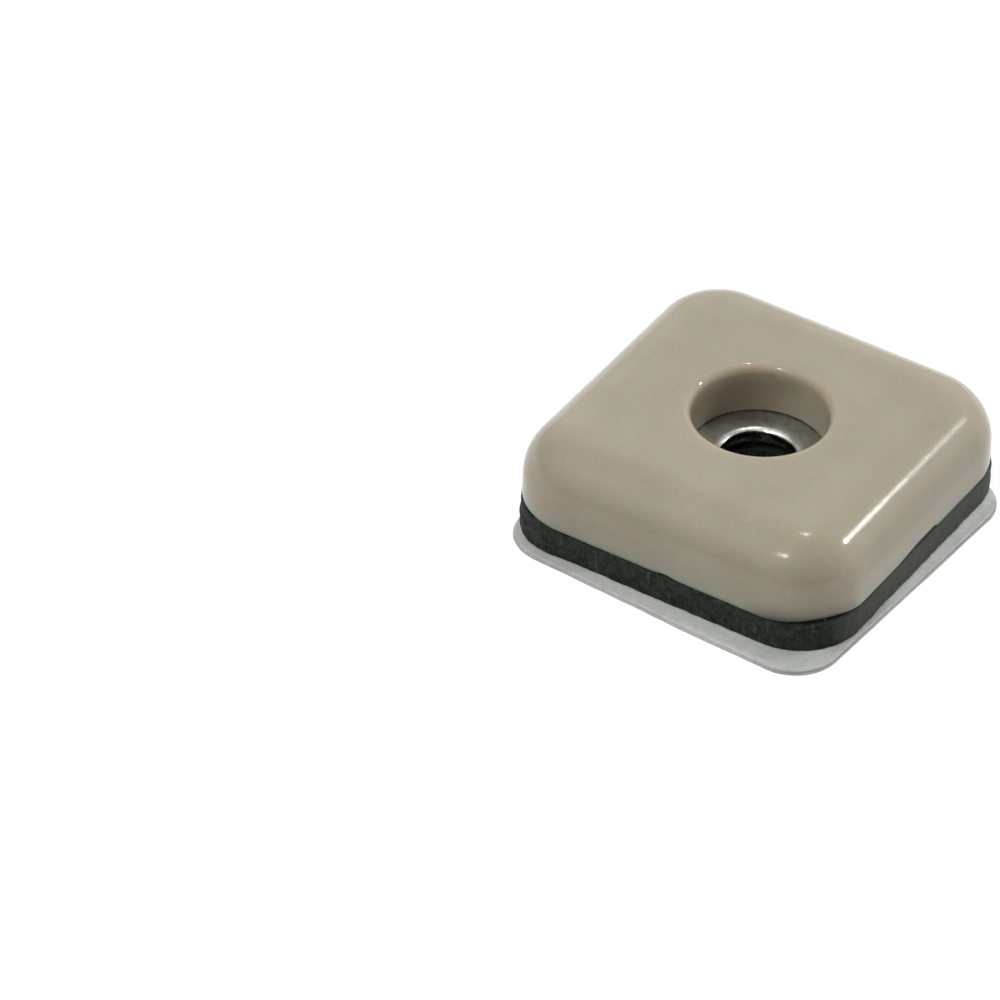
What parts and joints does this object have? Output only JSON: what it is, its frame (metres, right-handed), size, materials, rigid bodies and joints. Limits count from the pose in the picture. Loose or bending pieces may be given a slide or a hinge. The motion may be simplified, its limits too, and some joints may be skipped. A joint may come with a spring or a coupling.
{
  "type": "furniture slider",
  "caption": "Square furniture slider: rounded plastic glide cap with a screw recess and a moulded-in washer, on a rubber cushion and a self-adhesive patch with a peel-off liner.",
  "frame": {"origin": "on the screw's axis, at the underside of the release liner that the slider lies on", "axes": "+Z along the screw's axis, out of the glide face; +X and +Y square to the cap's walls"},
  "size_m": [0.0267, 0.0273, 0.0077],
  "materials": {
    "cap_plastic": "satin, moulded",
    "washer_steel": "dull, punched",
    "glue": "cured contact glue",
    "pad_rubber": "matt, cut from sheet",
    "tissue_tape": "tacky on both faces",
    "liner_paper": "silicone-coated on one face"
  },
  "bodies": {
    "slider": {"glide_cap": "cap_plastic", "steel_washer": "washer_steel", "bond_film": "glue", "rubber_pad": "pad_rubber", "adhesive_patch": "tissue_tape"},
    "liner": {"release_liner": "liner_paper"}
  },
  "joints": [
    {"name": "liner_peel", "type": "slide", "parent": "slider", "child": "liner", "axis": [0, -1, 0], "range_m": [0, 0.027]}
  ]
}
